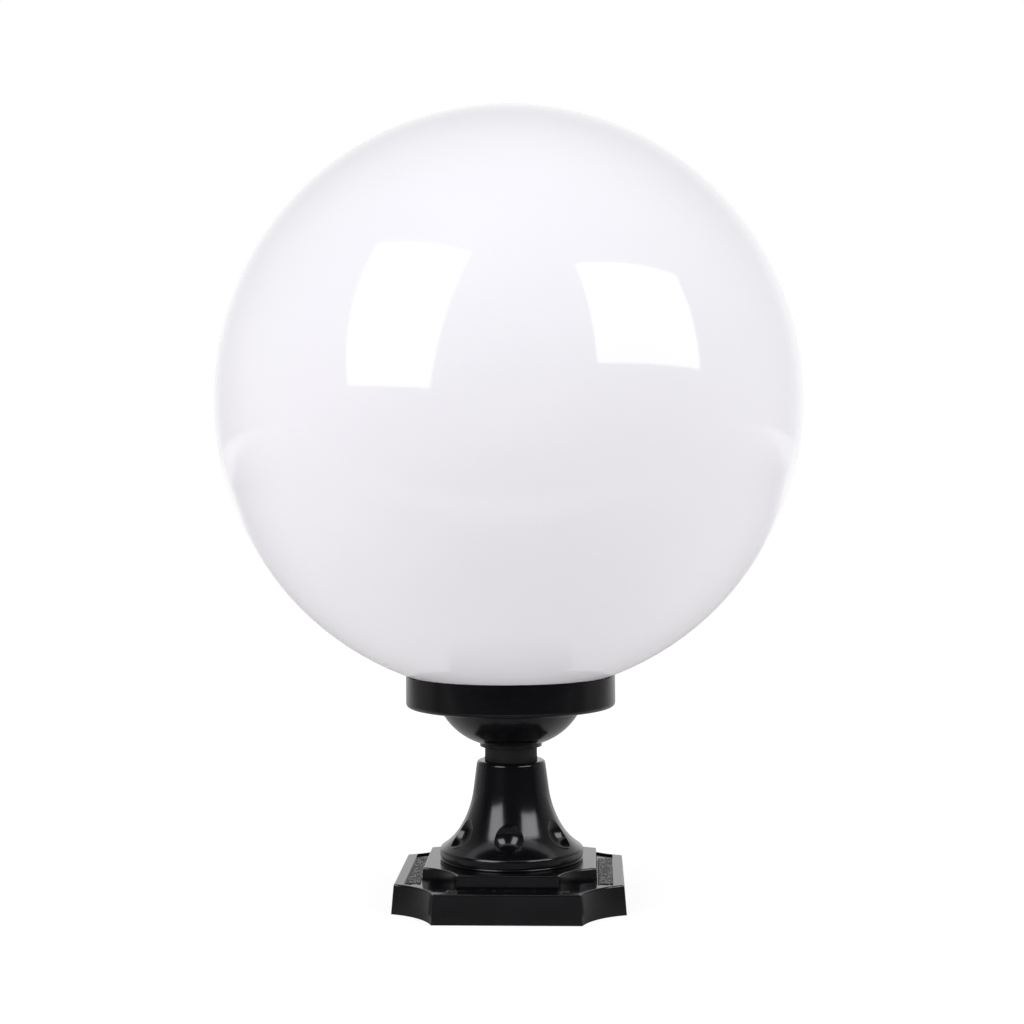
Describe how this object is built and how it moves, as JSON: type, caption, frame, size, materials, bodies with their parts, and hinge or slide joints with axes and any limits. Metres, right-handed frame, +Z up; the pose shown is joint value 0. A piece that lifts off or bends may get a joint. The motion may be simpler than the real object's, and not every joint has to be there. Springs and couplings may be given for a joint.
{
  "type": "garden globe light",
  "caption": "Mains garden light: an opal globe in a black gallery cup on a bell-shaped pedestal with a double scalloped square plinth, for a pillar or wall top.",
  "frame": {"origin": "centre of the pedestal's underside", "axes": "+Z up the light's axis, front face of the plinth towards -Y"},
  "size_m": [0.2989, 0.299, 0.4049],
  "materials": {
    "opal_plastic": "glossy opal white",
    "black_rubber": "matt black rubber",
    "black_gloss": "gloss black paint on cast aluminium",
    "grey_plastic": "dark grey, matt",
    "zinc_steel": "zinc-plated steel",
    "black_plastic": "black nylon",
    "brass": "plain brass",
    "porcelain": "white glazed porcelain",
    "clear_nylon": "natural nylon",
    "brown_wire": "brown insulation",
    "blue_wire": "blue insulation",
    "tin": "tinned contact",
    "black_glass": "black vitrite",
    "nickel": "nickel-plated cap",
    "white_plastic": "white moulded plastic",
    "board_metal": "white-coated aluminium board",
    "frosted_plastic": "frosted white"
  },
  "bodies": {
    "base": {"neck_gasket": "black_rubber", "gallery_cup": "black_gloss", "neck_sleeve": "grey_plastic", "neck_seal": "black_rubber", "pedestal": "black_gloss", "mounting_plate": "zinc_steel", "plate_nuts": "zinc_steel", "tie_tube": "zinc_steel", "tube_bush": "black_plastic", "lock_washer": "zinc_steel", "top_nut": "zinc_steel", "holder_bracket": "zinc_steel", "bracket_screws": "zinc_steel", "earth_screw": "brass", "lampholder_body": "porcelain", "lampholder_shell": "brass", "lampholder_contact": "brass", "holder_terminals": "brass", "terminal_block": "clear_nylon", "block_screws": "zinc_steel", "lead_live": "brown_wire", "lead_neutral": "blue_wire"},
    "lamp": {"lamp_button": "tin", "lamp_insulator": "black_glass", "lamp_cap": "nickel", "lamp_housing": "white_plastic", "light_board": "board_metal", "lamp_diffuser": "frosted_plastic"},
    "globe": {"globe_shade": "opal_plastic"}
  },
  "joints": [
    {"name": "globe_lift", "type": "slide", "parent": "base", "child": "globe", "axis": [0, 0, 1], "range_m": [0, 0.15]},
    {"name": "lamp_withdraw", "type": "slide", "parent": "base", "child": "lamp", "axis": [0, 0, 1], "range_m": [0, 0.035]}
  ]
}
